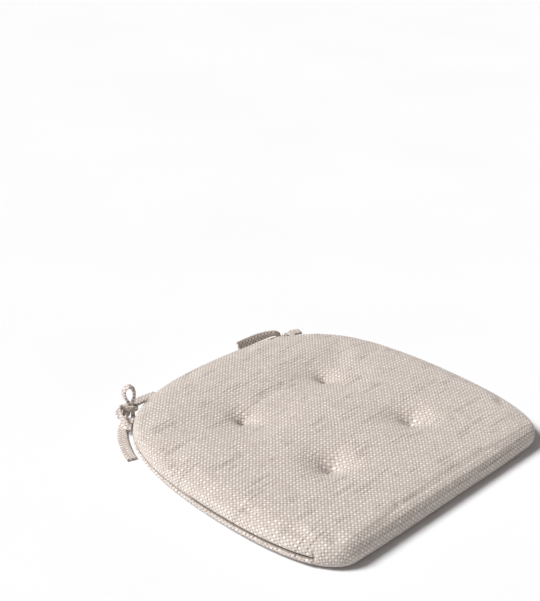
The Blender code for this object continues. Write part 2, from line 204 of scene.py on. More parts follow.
def pad_surface(inset, cell, fine, top_hollow, under_hollow, spread):
    """Closed pad: a patch of the plan on top and one below, joined by rows down the wall.
    A patch blends its four edge curves (a Coons patch). The crown is the product of two
    parabolas, one each way, to the power CROWN_POWER. Every point has its place, its
    distance down the wall, its run along the plan and its outward direction there, and
    every corner of a face has flat cloth coordinates: the cloth lies as cut on top and
    below, and carries straight on down the wall as far as the seam round the sides, while
    the front wall belongs to the top cloth all the way down."""
    front_length, side_length = 2 * CORNER_RUN, BACK_RUN - CORNER_RUN
    tuft_columns = [front_length * (0.5 + side * TUFT_X / (2 * HALF_WIDTH - COLUMN_GIVE)) for side in (-1, 1)]
    tuft_rows = [side_length * (y - CORNER_SEAM_Y + ROW_GIVE) / (HALF_DEPTH - CORNER_SEAM_Y)
                 for y in TUFT_ROWS]
    u = stations(front_length, cell, fine, (0, *tuft_columns, front_length)) / front_length
    v = stations(side_length, cell, fine, (0, *tuft_rows)) / side_length
    rows = stations(WALL_LENGTH, cell, fine, (SEAM_DOWN,))
    grid = np.arange(len(u) * len(v)).reshape(len(v), len(u))
    border = np.concatenate((grid[0], grid[1:, -1], grid[-1, :-1][::-1], grid[1:-1, 0][::-1]))
    side = CORNER_RUN + v * side_length
    back = PLAN_LENGTH - BACK_RUN + (2 * BACK_RUN - PLAN_LENGTH) * u
    run = np.concatenate(((u - 0.5) * front_length, side[1:], back[::-1][1:],
                          (PLAN_LENGTH - side)[::-1][1:-1]))
    edge, outward = plan_at(run)
    count = len(run)

    def patch(inward):
        """Grid of points inside the plan moved inwards, from its border."""
        rim = np.zeros((grid.size, 2))
        rim[border] = edge - inward * outward
        rim = rim.reshape(len(v), len(u), 2)
        across, along = u[None, :, None], v[:, None, None]
        filled = ((1 - along) * rim[None, 0] + along * rim[None, -1] +
                  (1 - across) * rim[:, :1] + across * rim[:, -1:] -
                  (1 - across) * (1 - along) * rim[0, 0] - across * (1 - along) * rim[0, -1] -
                  (1 - across) * along * rim[-1, 0] - across * along * rim[-1, -1])
        return filled.reshape(-1, 2)

    top, under = patch(UPPER_RADIUS), patch(LOWER_RADIUS)
    bow = ((1 - (2 * u - 1) ** 2)[None, :] * (1 - (2 * v - 1) ** 2)[:, None]).ravel()
    points = [np.column_stack((top, EDGE_HEIGHT - inset + CROWN * bow ** CROWN_POWER -
                               hollows(*top.T, top_hollow, spread) - leaning(*top.T)))]
    for row in rows[1:-1]:
        inward, height = wall_profile(row, inset)
        points.append(np.column_stack((edge - inward * outward, np.full(count, height))))
    points.append(np.column_stack((under, inset + hollows(*under.T, under_hollow, spread * UNDER_SPREAD))))
    points = np.concatenate(points)

    middle_rows = grid.size + np.arange((len(rows) - 2) * count).reshape(-1, count)
    first_under = grid.size + middle_rows.size
    loops = np.vstack((border, middle_rows, first_under + border))
    down = np.zeros(len(points))
    down[middle_rows] = rows[1:-1, None]
    down[first_under:] = WALL_LENGTH
    around, away = np.zeros(len(points)), np.zeros((len(points), 2))
    around[loops] = np.mod(run + PLAN_LENGTH / 2, PLAN_LENGTH) - PLAN_LENGTH / 2
    away[loops] = outward

    cells = np.stack((grid[:-1, :-1], grid[:-1, 1:], grid[1:, 1:], grid[1:, :-1]), -1).reshape(-1, 4)
    wall = band(loops)
    row_middle = np.repeat((rows[1:] + rows[:-1]) / 2, count)
    front = np.tile(np.arange(count) < len(u) - 1, len(rows) - 1)
    from_top = (row_middle < SEAM_DOWN) | front
    fold = np.zeros((len(points), 2))
    fold[loops] = edge
    beyond = np.where(from_top[:, None], down[wall] - UPPER_RADIUS, WALL_LENGTH - down[wall] - LOWER_RADIUS)
    flat_wall = fold[wall] + beyond[:, :, None] * away[wall]
    cells_under = first_under + cells[:, ::-1]
    faces = np.vstack((cells, wall, cells_under))
    flat = np.concatenate((points[cells][:, :, :2], flat_wall, points[cells_under][:, :, :2]))
    return {"points": points, "faces": faces, "flat": flat, "down": down, "around": around,
            "away": away, "loops": loops}


def mesh_object(name, points, faces, flat=None):
    """A smooth-shaded object at the origin from arrays of points and faces, with a UV map
    of flat cloth coordinates in metres."""
    mesh = bpy.data.meshes.new(name)
    mesh.from_pydata(np.asarray(points).tolist(), [], [list(face) for face in faces])
    if flat is not None:
        layer = mesh.uv_layers.new(name="cloth")
        layer.data.foreach_set("uv", np.ascontiguousarray(flat, dtype=np.float32).ravel())
    mesh.shade_smooth()
    obj = bpy.data.objects.new(name, mesh)
    bpy.context.scene.collection.objects.link(obj)
    return obj


class Value:
    """A node socket in an expression; each operator adds one Math node."""

    def __init__(self, finish, socket):
        self.finish = finish
        self.socket = socket

    def math(self, operation, *others):
        values = {f"i{k}": value for k, value in enumerate((self, *others))}
        return self.finish.node("Math", settings={"operation": operation}, **values)

    def __add__(self, other):
        return self.math("ADD", other)

    def __sub__(self, other):
        return self.math("SUBTRACT", other)

    def __rsub__(self, other):
        return self * -1.0 + other

    def __mul__(self, other):
        return self.math("MULTIPLY", other)

    def __truediv__(self, other):
        return self.math("DIVIDE", other)

    __radd__, __rmul__ = __add__, __mul__


class Finish:
    """A material being made on its Principled shader."""

    def __init__(self, name, **constants):
        self.material = bpy.data.materials.new(name)
        self.material.use_nodes = True
        self.tree = self.material.node_tree
        self.shader = self.tree.nodes["Principled BSDF"]
        for socket, value in constants.items():
            self.shader.inputs[socket.replace("_", " ")].default_value = value

    def feed(self, socket, value):
        """A link or a constant into a socket."""
        if isinstance(value, Value):
            self.tree.links.new(value.socket, socket)
        else:
            socket.default_value = value

    def node(self, kind, output=0, settings=None, **values):
        """A node of that kind: its settings first, then its sockets, by name or as i0, i1."""
        node = self.tree.nodes.new("ShaderNode" + kind)
        for setting, value in (settings or {}).items():
            setattr(node, setting, value)
        for socket, value in values.items():
            by_number = socket[0] == "i" and socket[1:].isdigit()
            self.feed(node.inputs[int(socket[1:]) if by_number else socket.replace("_", " ")], value)
        return Value(self, node.outputs[output])

    def mix(self, share, first, second):
        """Colour between first and second."""
        return self.node("Mix", output=2, settings={"data_type": "RGBA"}, i0=share, i6=first, i7=second)

    def noise(self, place, scale, detail=2.0, **values):
        """Noise between 0 and 1 at a place."""
        return self.node("TexNoise", Vector=place, Scale=scale, Detail=detail, **values)

    def shade(self, **values):
        """Links into the Principled shader."""
        for socket, value in values.items():
            self.feed(self.shader.inputs[socket.replace("_", " ")], value)

    def bump(self, height, distance):
        """Bump of a height from 0 to 1 that stands for that many metres."""
        return self.node("Bump", Height=height, Distance=distance)


foam_finish = Finish("cream_foam", Roughness=0.85)
place = foam_finish.node("TexCoord", output=3)
pores = foam_finish.node("TexVoronoi", Vector=place, Scale=700.0)
yellowing = foam_finish.noise(place, 30.0, 3.0)
foam_finish.shade(Base_Color=foam_finish.mix(yellowing, YELLOWED_FOAM, PALE_FOAM),
                  Normal=foam_finish.bump(pores, PORE_DEPTH))

slab = pad_surface(FOAM_INSET, FOAM_CELL, FOAM_CELL / 3, TOP_HOLLOW, UNDER_HOLLOW, HOLLOW_SPREAD)
foam = mesh_object("foam_slab", slab["points"], slab["faces"])
foam.data.materials.append(foam_finish.material)
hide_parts("foam_core")
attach(foam, "root")


# ----------------------------------------------------------
# Wadding
# Two blankets of white polyester wadding wrap the foam, one over and one under. Their
# edges meet at the side seam, and they soften the slab's corners under the cloth.
WADDING_OUTER = 0.0034
WADDING_INNER = 0.0066
WADDING_CELL = 0.010
WADDING_PINCH = 0.0028              # how far the side seam presses it in
CLOSE = 1e-6                        # nearer than this counts as the same place
GREY_FIBRE = (0.80, 0.80, 0.78, 1)
WHITE_FIBRE = (0.92, 0.92, 0.90, 1)
FIBRE_DEPTH = 0.0012

wadding_finish = Finish("white_wadding", Roughness=0.95, Sheen_Weight=0.4, Sheen_Roughness=0.6)
place = wadding_finish.node("TexCoord", output=3)
fibres = wadding_finish.noise(place, 260.0, 6.0, Roughness=0.75, Distortion=2.5)
tufts_of_fibre = wadding_finish.noise(place, 45.0, 3.0)
wadding_finish.shade(Base_Color=wadding_finish.mix(tufts_of_fibre, GREY_FIBRE, WHITE_FIBRE),
                     Normal=wadding_finish.bump(fibres, FIBRE_DEPTH))

outer, inner = (pad_surface(inset, WADDING_CELL, WADDING_CELL / 3, TOP_HOLLOW, UNDER_HOLLOW, HOLLOW_SPREAD)
                for inset in (WADDING_OUTER, WADDING_INNER))
pinch = WADDING_PINCH * np.exp(-((outer["down"] - SEAM_DOWN) / WADDING_CELL * 2) ** 2)
outer["points"][:, :2] -= pinch[:, None] * outer["away"]
above_seam = outer["down"][outer["faces"]].max(axis=1) < SEAM_DOWN + CLOSE
seam_row = int(np.argmin(np.abs(outer["down"][outer["loops"][:, 0]] - SEAM_DOWN)))
for name, kept, rim_loop in (("wadding_over", above_seam, outer["loops"][seam_row]),
                             ("wadding_under", ~above_seam, outer["loops"][seam_row + 1])):
    if name == "wadding_under":
        kept = kept & (outer["down"][outer["faces"]].min(axis=1) > SEAM_DOWN + CLOSE)
    count = len(outer["points"])
    ring = np.column_stack((rim_loop, rim_loop + count, np.roll(rim_loop, -1) + count, np.roll(rim_loop, -1)))
    shell = np.vstack((outer["faces"][kept], inner["faces"][kept][:, ::-1] + count,
                       ring if name == "wadding_over" else ring[:, ::-1]))
    used, renumbered = np.unique(shell, return_inverse=True)
    wadding = mesh_object(name, np.vstack((outer["points"], inner["points"]))[used],
                          renumbered.reshape(shell.shape))
    wadding.data.materials.append(wadding_finish.material)
    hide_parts("wadding_upper" if name == "wadding_over" else "wadding_lower")
    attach(wadding, "root")


# ----------------------------------------------------------
# Cover
# One piece of chunky hopsack, white and beige warps over a drab weft, folded round the
# straight front edge and sewn shut along the sides and back. The front corners are boxed
# by a short upright seam, and the tufts draw the cloth down into creased hollows.
COVER_CELL = 0.0042
COVER_FINE = 0.0016
COVER_UNDER_HOLLOW = 0.0028
COVER_SPREAD = 0.0150
TUCK = 0.0012                       # the cloth starts this far inside its filled shape
SLACK = 0.0004                      # share of its length by which the cloth is cut too large
PRESSURE = 4.0
TUFT_HOLD = COVER_FINE * 1.2        # the twine holds the cloth this near a tuft
MOST_SWELL = 0.0035
SWELL_START = 0.034                 # distance from a tuft where the cloth may swell fully
LEAST_SWELL = 0.05                  # share of the most that it may swell at a tuft
MOST_SINK = 0.0008                  # the wadding under the cloth stops it there
SWELL_FRAMES = 20
GROOVE_DEPTH = 0.0050
GROOVE_WIDTH = 0.0011
CORNER_GROOVE = GROOVE_DEPTH * 0.7
CORNER_REACH = 0.013                # the upright seam runs this far above and below the side seam
LIP_RISE = 0.0016
FULL_SEAM_Y = -0.03                 # the side seam is drawn fully in front of this place
EASY_SEAM_Y = 0.07                  # and only by the share EASY_SEAM behind this one
EASY_SEAM = 0.55
SEAM_REACH = 0.010                  # distance in which the seam's shade dies away
TUFT_SHADE = 0.7
TUFT_SHADE_REACH = 0.0035
LOWEST_CLOTH = 0.0002
YARN_PITCH = 0.00256
WIDE_SHARE = 0.54                   # of a pair of yarns, taken by the wide one
COVER_WANDER = 0.5                  # how far the yarns stray, against a pair of them
YARN_DEPTH = 0.0008
WHITE_YARN = (0.91, 0.86, 0.825, 1)
BEIGE_YARN = (0.69, 0.62, 0.57, 1)
# painted shade in the open eyes of the weave
EYE_SHADE = (0.17, 0.13, 0.105, 1)
DRAB_YARN = (0.665, 0.595, 0.545, 1)
# painted shade in the low places between the yarns
GAP_SHADE = (0.13, 0.10, 0.08, 1)
WARM_SOIL = (0.40, 0.31, 0.27, 1)
GREY_SOIL = (0.42, 0.37, 0.33, 1)
SEAM_SHADOW = (0.07, 0.052, 0.04, 1)
# Creases run from a tuft, as (tuft, direction in degrees, length, depth)
CREASES = [(0, 12, 0.030, 0.0013), (0, 205, 0.012, 0.0008), (2, 14, 0.024, 0.0012), (2, 200, 0.014, 0.0008),
           (3, 20, 0.014, 0.0010), (3, 200, 0.014, 0.0009), (1, 30, 0.016, 0.0009), (1, 215, 0.014, 0.0008)]
CREASE_START = 0.004
CREASE_CURL = 0.10                  # sideways bend at the end, as a share of the length
CREASE_WIDTH = 0.0022
CREASE_FLARE = 0.05                 # width gained for each length run
RIDGE_SHARE = 0.35                  # of the depth, in the ridges beside a crease
RIDGE_PLACE = 2.2                   # in widths from its middle


def woven(name, wander):
    """Hopsack on flat cloth coordinates. Yarns lie in pairs of a wide and a narrow one, both
    ways, and cross on a lattice. Where column plus row is even the warp floats on top, a
    dome: the product of a parabola across it and one along it, white on wide yarns and beige
    on narrow ones. Else the weft lies on top: flat, drab to beige, with a low eye that is one
    less the squares of the same two places, painted dark as the shade in the opening. Some
    stretches of weft leave an open line, painted darker as shade. Low places between the
    yarns are painted in a dark shade colour. Thin soil lies over the yarns, and the seams
    and the feet of the tufts have painted shade."""
    finish = Finish(name, Roughness=0.9, Sheen_Weight=0.2, Sheen_Roughness=0.5)
    cloth = finish.node("UVMap", settings={"uv_map": "cloth"})
    drift = finish.node("TexNoise", output=1, Vector=cloth, Scale=30.0, Detail=2.0)

    def yarns(axis):
        """Number of the yarn at a place, 0 to 1 wide or narrow, and -0.5 to 0.5 across it."""
        pairs = (finish.node("SeparateXYZ", output=axis, Vector=cloth) / (2 * YARN_PITCH) +
                 (finish.node("SeparateXYZ", output=axis, Vector=drift) - 0.5) * wander)
        pair = pairs.math("FLOOR")
        part = pairs - pair
        narrow = part.math("GREATER_THAN", WIDE_SHARE)
        across_wide = part / WIDE_SHARE - 0.5
        across_narrow = (part - WIDE_SHARE) / (1 - WIDE_SHARE) - 0.5
        return pair * 2.0 + narrow, narrow, narrow * across_narrow + (1.0 - narrow) * across_wide

    column, narrow_column, across = yarns(0)
    row, narrow_row, along = yarns(1)
    weft_on_top = (narrow_column + narrow_row).math("FLOORED_MODULO", 2.0)
    cloth_x = finish.node("SeparateXYZ", Vector=cloth)
    cloth_y = finish.node("SeparateXYZ", output=1, Vector=cloth)
    slub = finish.noise(finish.node("CombineXYZ", X=cloth_x * 18.0, Y=row * 7.31), 1.0, 3.0)
    warp_slub = finish.noise(finish.node("CombineXYZ", X=column * 5.17, Y=cloth_y * 28.0), 1.0, 3.0)
    open_line = finish.node("MapRange", Value=slub, From_Min=0.58, From_Max=0.64)
    chance = finish.node("TexWhiteNoise", Vector=finish.node("CombineXYZ", X=column, Y=row))

    warp_dome = (1.0 - across * across * 2.6) * (1.0 - along * along * 1.6)
    eye = (1.0 - (across * across * 5.0 + along * along * 4.0)).math("MAXIMUM", 0.0)
    weft_dome = 0.75 - eye * (0.28 + open_line * 0.2)
    dome = weft_on_top * weft_dome + (1.0 - weft_on_top) * warp_dome * (0.75 + warp_slub * 0.4)
    gap_line = open_line * along.math("ABSOLUTE") * 1.6
    height = dome * (1.0 - gap_line * 0.7)
    fuzz = finish.noise(cloth, 2600.0, 3.0)
    tangled = finish.noise(cloth, 900.0, 4.0)

    warp_colour = finish.mix(narrow_column * 0.9 + chance * 0.6, WHITE_YARN, BEIGE_YARN)
    weft_tone = finish.node("MapRange", Value=slub, From_Min=0.68, From_Max=0.34)
    # The eyes and the open lines are painted dark as the shade in the openings between the yarns
    eye_shade = eye * (0.36 + chance * 0.3 + open_line * 0.25 + narrow_row * 0.3)
    weft_colour = finish.mix(eye_shade, finish.mix(weft_tone, DRAB_YARN, BEIGE_YARN), EYE_SHADE)
    yarn = finish.mix(weft_on_top, warp_colour, weft_colour)
    blotch = finish.noise(cloth, 60.0, 4.0)
    blush = finish.noise(cloth, 13.0, 2.0)
    streak = finish.noise(finish.node("CombineXYZ", X=cloth_x * 22.0, Y=cloth_y * 300.0), 1.0, 2.0)
    soil = (finish.node("MapRange", Value=blotch, From_Min=0.40, From_Max=0.75) * 0.09 +
            finish.node("MapRange", Value=streak, From_Min=0.54, From_Max=0.76) * 0.05 + chance * 0.22)
    yarn = finish.mix(soil, yarn, finish.mix(blush, WARM_SOIL, GREY_SOIL))
    # Painted shade along the seams and at the feet of the tufts, read from point attributes
    seam_shade = finish.node("Attribute", output=2, settings={"attribute_name": "seam_shade"})
    seam_line = finish.node("MapRange", Value=seam_shade, From_Min=0.85, From_Max=0.96)
    tuft_shade = finish.node("Attribute", output=2, settings={"attribute_name": "tuft_shade"})
    yarn = finish.mix(seam_line.math("MAXIMUM", tuft_shade * 0.8), yarn, SEAM_SHADOW)
    # Painted shade: the lower the weave, the more it takes the dark gap colour
    shade = finish.node("MapRange", Value=height + (tangled - 0.5) * 0.35, From_Min=0.0, From_Max=0.55)
    finish.shade(Base_Color=finish.mix(shade, GAP_SHADE, yarn),
                 Normal=finish.bump(height * 0.8 + tangled * 0.25 + fuzz * 0.1, YARN_DEPTH))
    return finish


def places_of(mesh):
    """Places of a mesh's points."""
    places = np.zeros(len(mesh.vertices) * 3, dtype=np.float32)
    mesh.vertices.foreach_get("co", places)
    return places.reshape(-1, 3).astype(float)


def swell(obj, held):
    """Places of the cloth after it is blown up under even pressure with no gravity, while
    the held points stay put."""
    group = obj.vertex_groups.new(name="held")
    group.add(held.tolist(), 1.0, "REPLACE")
    cloth = obj.modifiers.new("swell", "CLOTH")
    cloth.settings.quality = 5
    cloth.settings.mass = 0.3
    cloth.settings.tension_stiffness = 25
    cloth.settings.compression_stiffness = 12
    cloth.settings.shear_stiffness = 6
    cloth.settings.bending_stiffness = 8
    cloth.settings.air_damping = 4
    cloth.settings.use_pressure = True
    cloth.settings.uniform_pressure_force = PRESSURE
    cloth.settings.shrink_min = -SLACK
    cloth.settings.vertex_group_mass = group.name
    cloth.settings.effector_weights.gravity = 0
    cloth.point_cache.frame_start = 1
    cloth.point_cache.frame_end = SWELL_FRAMES
    for frame_number in range(1, SWELL_FRAMES + 1):
        bpy.context.scene.frame_set(frame_number)
    places = places_of(obj.evaluated_get(bpy.context.evaluated_depsgraph_get()).data)
    obj.modifiers.remove(cloth)
    obj.vertex_groups.clear()
    bpy.context.scene.frame_set(1)
    return places


def from_tufts(points):
    """Distance in plan from each point to the nearest tuft."""
    return np.min([np.hypot(points[:, 0] - x, points[:, 1] - y) for x, y in TUFTS], axis=0)


cloth = pad_surface(TUCK, COVER_CELL, COVER_FINE, TOP_HOLLOW, COVER_UNDER_HOLLOW, COVER_SPREAD)
points, down, around, away = (cloth[part] for part in ("points", "down", "around", "away"))
cover = mesh_object("cover_hopsack", points, cloth["faces"], cloth["flat"])
tuft_distance = from_tufts(points)
sewn = (np.abs(down - SEAM_DOWN) < CLOSE) & (np.abs(around) > CORNER_RUN - CLOSE)
flat_under = down >= WALL_LENGTH - CLOSE
held = (tuft_distance < TUFT_HOLD) | sewn | flat_under
step = swell(cover, np.flatnonzero(held)) - points
normals = np.zeros(len(points) * 3, dtype=np.float32)
cover.data.vertices.foreach_get("normal", normals)
normals = normals.reshape(-1, 3)
out = np.sum(step * normals, axis=1)[:, None]
most = MOST_SWELL * np.clip(tuft_distance / SWELL_START, LEAST_SWELL, 1)[:, None]
step += (np.clip(out, -MOST_SINK, most) - out) * normals
length = np.linalg.norm(step, axis=1)[:, None]
points = points + step * np.minimum(1, MOST_SWELL / np.maximum(length, CLOSE))

# Seams pull a narrow groove into the cloth; below the side seam its edge stands up in a lip.
# Both are bell curves down the wall, and the upright seam's groove is one along the plan
sewn_side = np.abs(around) > CORNER_RUN - COVER_FINE / 2
sewn_side = sewn_side * np.interp(points[:, 1], (FULL_SEAM_Y, EASY_SEAM_Y), (1.0, EASY_SEAM))
groove = GROOVE_DEPTH * np.exp(-((down - SEAM_DOWN) / GROOVE_WIDTH) ** 2) * sewn_side
lip = LIP_RISE * np.exp(-((down - SEAM_DOWN - 2 * COVER_FINE) / GROOVE_WIDTH) ** 2) * sewn_side
from_corner = np.abs(np.abs(around) - CORNER_RUN)
upright = np.clip(1 - np.abs(down - SEAM_DOWN) / CORNER_REACH, 0, 1) ** 0.5 * (down > 0)
groove = np.maximum(groove, CORNER_GROOVE * np.exp(-(from_corner / GROOVE_WIDTH) ** 2) * upright)
points[:, :2] -= (groove - lip)[:, None] * away
# Painted shade along the seams and round the feet of the tufts, kept as point attributes for the cloth's
# colour
tuft_shade = TUFT_SHADE * np.exp(-(from_tufts(points) / TUFT_SHADE_REACH) ** 2)
seam_shade = np.clip(1 - np.abs(down - SEAM_DOWN) / SEAM_REACH, 0, 1) * np.clip(sewn_side * 1.1, 0, 1)
for name, values in (("seam_shade", seam_shade), ("tuft_shade", tuft_shade * (down == 0))):
    cover.data.attributes.new(name, "FLOAT", "POINT").data.foreach_set("value", values.astype(np.float32))
points[:, 2] = np.maximum(points[:, 2], LOWEST_CLOTH)
cover.data.vertices.foreach_set("co", points.ravel())

smooth = cover.modifiers.new("finer", "SUBSURF")
smooth.levels = smooth.render_levels = 1
evaluated = cover.evaluated_get(bpy.context.evaluated_depsgraph_get())
fine_mesh = bpy.data.meshes.new_from_object(evaluated)
cover.modifiers.remove(smooth)
cover.data = fine_mesh
places = places_of(fine_mesh)
on_top = places[:, 2] > SEAM_HEIGHT

# A crease is a bell curve across its line, which bends as a parabola and widens as it goes
for tuft, degrees, length, depth in CREASES:
    angle = math.radians(degrees)
    offset = places[:, :2] - TUFTS[tuft]
    ahead = offset @ [math.cos(angle), math.sin(angle)]
    aside = offset @ [-math.sin(angle), math.cos(angle)] - CREASE_CURL * ahead ** 2 / length
    fade = np.clip(1 - ahead / length, 0, 1) * np.clip(ahead / CREASE_START + 0.5, 0, 1)
    width = CREASE_WIDTH + CREASE_FLARE * np.clip(ahead, 0, length)
    ridges = RIDGE_SHARE * np.exp(-((np.abs(aside) - RIDGE_PLACE * width) / width) ** 2)
    places[:, 2] -= on_top * depth * fade * (np.exp(-(aside / width) ** 2) - ridges)
fine_mesh.vertices.foreach_set("co", places.ravel())
fine_mesh.update()
hopsack = woven("hopsack_cloth", COVER_WANDER)
fine_mesh.materials.clear()
fine_mesh.materials.append(hopsack.material)
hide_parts("cover_cloth")
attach(cover, "root")


# ----------------------------------------------------------
# Machine seams
# Taupe polyester thread in a plain lockstitch runs round the sides and the closed back,
# just inside the groove of the cover, and up each boxed front corner.
THREAD_INSET = 0.0021
THREAD_RADIUS = 0.0003
STITCH_PITCH = 0.0030
STITCH_SWING = 0.00035
STITCH_END = 0.0015                 # a line of stitches starts this far from its ends
CORNER_STEPS = 14
TIE_RUN = run_at(0.1579)            # along the plan, where the ties are sewn in
BARTACK_ABOVE = 0.0018
BARTACK_LENGTH = 0.0087
BARTACK_WIDTH = 0.0011
BARTACK_PROUD = 0.0001              # beyond the plan
BARTACK_STEPS = 49
# painted shade in the grooves of the thread's twist
THREAD_GROOVE_SHADE = (0.22, 0.18, 0.15, 1)
TAUPE_THREAD = (0.47, 0.40, 0.34, 1)
TWIST_DEPTH = 0.0002


def swept(name, centre, normal, half_width, half_thick, power=1.0, sides=8, cup=0.0):
    """Closed solid along a line of centres. Its section is a superellipse: cosine and sine
    of the angle round it, each raised to a power, times the half width and half thickness,
    and cupped by its square across. normal is the direction of the width along the line.
    Its UV map is the distance across and along, in metres."""
    centre = np.asarray(centre, dtype=float)
    forward = np.gradient(centre, axis=0)
    forward /= np.linalg.norm(forward, axis=1)[:, None]
    wide = normal - np.sum(normal * forward, axis=1)[:, None] * forward
    wide /= np.linalg.norm(wide, axis=1)[:, None]
    thick = np.cross(forward, wide)
    angle = np.linspace(0, 2 * math.pi, sides, endpoint=False)
    across = np.sign(np.cos(angle)) * np.abs(np.cos(angle)) ** power
    rise = np.sign(np.sin(angle)) * np.abs(np.sin(angle)) ** power
    half_width = np.broadcast_to(half_width, len(centre))
    half_thick = np.broadcast_to(half_thick, len(centre))
    lift = half_thick[:, None] * rise + cup * half_width[:, None] * (across ** 2 - 0.5)
    points = (centre[:, None] + half_width[:, None, None] * across[None, :, None] * wide[:, None] +
              lift[:, :, None] * thick[:, None]).reshape(-1, 3)
    rings = np.arange(len(points)).reshape(-1, sides)
    faces = band(rings)[:, [0, 3, 2, 1]].tolist() + [rings[0][::-1].tolist(), rings[-1].tolist()]
    along = np.concatenate(([0], np.cumsum(np.linalg.norm(np.diff(centre, axis=0), axis=1))))
    flat = np.column_stack(((half_width[:, None] * across).ravel(), np.repeat(along, sides)))
    corners = np.concatenate([np.ravel(face) for face in faces]).astype(int)
    return mesh_object(name, points, faces, flat[corners])


thread_finish = Finish("taupe_thread", Roughness=0.55, Sheen_Weight=0.3)
place = thread_finish.node("UVMap", settings={"uv_map": "cloth"})
twist = (thread_finish.node("SeparateXYZ", Vector=place) * 2400.0 +
         thread_finish.node("SeparateXYZ", output=1, Vector=place) * 5200.0).math("SINE") * 0.5 + 0.5
# The grooves of the twist are painted darker as shade, on the same wave as the bump
thread_finish.shade(Base_Color=thread_finish.mix(twist, THREAD_GROOVE_SHADE, TAUPE_THREAD),
                    Normal=thread_finish.bump(twist, TWIST_DEPTH))


def stitch_inset(along):
    """Distance in from the plan of the thread, a sine wave of one turn to a stitch."""
    return THREAD_INSET + STITCH_SWING * np.sin(2 * math.pi * (along - along[0]) / STITCH_PITCH)


def sewn_thread(name, node, line, normal):
    """Thread swept along a line of centres, with its material and frame calls."""
    thread = swept(name, line, normal, THREAD_RADIUS, THREAD_RADIUS, sides=6)
    thread.data.materials.append(thread_finish.material)
    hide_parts(node)
    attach(thread, "root")


for name, node, first, last in (
        ("side_stitches_right", "side_seam_right", CORNER_RUN, TIE_RUN),
        ("back_stitches", "back_seam", TIE_RUN, PLAN_LENGTH - TIE_RUN),
        ("side_stitches_left", "side_seam_left", PLAN_LENGTH - TIE_RUN, PLAN_LENGTH - CORNER_RUN)):
    run = np.arange(first + STITCH_END, last - STITCH_END, STITCH_PITCH / 6)
    edge, outward = plan_at(run)
    line = np.column_stack((edge - stitch_inset(run)[:, None] * outward, np.full(len(run), SEAM_HEIGHT)))
    sewn_thread(name, node, line, np.tile([0.0, 0.0, 1.0], (len(run), 1)))
for name, sign in (("right", 1), ("left", -1)):
    edge, outward = plan_at(np.array([sign * CORNER_RUN]))
    height = np.linspace(LOWER_RADIUS, EDGE_HEIGHT - UPPER_RADIUS, CORNER_STEPS)
    line = np.column_stack((edge - stitch_inset(height)[:, None] * outward, height))
    sewn_thread(f"corner_stitches_{name}", f"corner_seam_{name}", line,
                np.tile([1.0, 0.0, 0.0], (CORNER_STEPS, 1)))

    # Bar tack over the ends of both ties: a close zigzag just above the seam
    run = sign * TIE_RUN + np.linspace(-0.5, 0.5, BARTACK_STEPS) * BARTACK_LENGTH
    edge, outward = plan_at(run)
    zigzag = BARTACK_WIDTH * (np.abs(np.mod(np.arange(BARTACK_STEPS) / 2, 2) - 1) - 0.5)
    line = np.column_stack((edge + BARTACK_PROUD * outward, SEAM_HEIGHT + BARTACK_ABOVE + zigzag))
    sewn_thread(f"bar_tack_{name}", f"bartack_{name}", line,
                np.column_stack((outward, np.zeros(BARTACK_STEPS))))


# ----------------------------------------------------------
# Tufts
# Four lengths of waxed twine, each passed right through the cushion, drawn tight over a
# short stitch at the foot of its hollow and knotted underneath with two cut tails.
TWINE_RADIUS = 0.0005
TUFT_STITCH = 0.0050
FOOT_REACH = 0.0035                 # the cloth this near a tuft gives the height of its foot
STRAND_SPLIT = 0.0006               # of each strand from the tuft's middle, at the knot
STITCH_BOW = 0.0006
KNOT_HEIGHT = 0.0016
KNOT_WIDE, KNOT_DEEP, KNOT_TALL = 0.0011, 0.0013, 0.0004
TAIL_HEIGHT = 0.0009                # of the tails' cut ends
TAIL_STEPS = 8
STRAND_STEPS = 9
KNOT_STEPS = 97
TWINE_TILT = (0.13, 0.97, 0.21)     # a direction that the twine never follows
TUFT_NAMES = ("front_left", "back_left", "front_right", "back_right")


def twine_line(tuft_x, tuft_y, foot):
    """Centres of the twine of a tuft: a tail, up beside the middle with a cubic spread, over
    the stitch in half a sine wave, down the other side, round the knot, whose three
    coordinates are waves of 2, 3 and 5 turns, and out along the other tail."""
    def tail(along, aside, heights):
        return np.column_stack((tuft_x + np.linspace(*along, TAIL_STEPS),
                                tuft_y + np.linspace(*aside, TAIL_STEPS), np.linspace(*heights, TAIL_STEPS)))

    t = np.linspace(0, 1, KNOT_STEPS)
    loop = 2 * math.pi * t
    half_turn = math.pi * t[::4]
    over = np.column_stack((tuft_x - TUFT_STITCH / 2 * np.cos(half_turn), np.full(len(half_turn), tuft_y),
                            foot + STITCH_BOW * np.sin(half_turn)))
    rise = np.linspace(KNOT_HEIGHT, foot, STRAND_STEPS)
    share = (rise - KNOT_HEIGHT) / (foot - KNOT_HEIGHT)
    reach = STRAND_SPLIT + (TUFT_STITCH / 2 - STRAND_SPLIT) * share ** 3
    up = np.column_stack((tuft_x - reach, np.full(STRAND_STEPS, tuft_y), rise))
    fall = np.column_stack((tuft_x + reach, np.full(STRAND_STEPS, tuft_y), rise))[::-1]
    knot = np.column_stack((tuft_x + KNOT_WIDE * np.sin(2 * loop), tuft_y + KNOT_DEEP * np.cos(3 * loop),
                            KNOT_HEIGHT + KNOT_TALL * np.sin(5 * loop)))
    return np.vstack((tail((-0.0052, -0.0014), (-0.0028, -0.0008), (TAIL_HEIGHT, KNOT_HEIGHT)),
                      up, over[1:-1], fall, knot,
                      tail((0.0014, 0.0060), (0.0013, 0.0030), (KNOT_HEIGHT, TAIL_HEIGHT))))


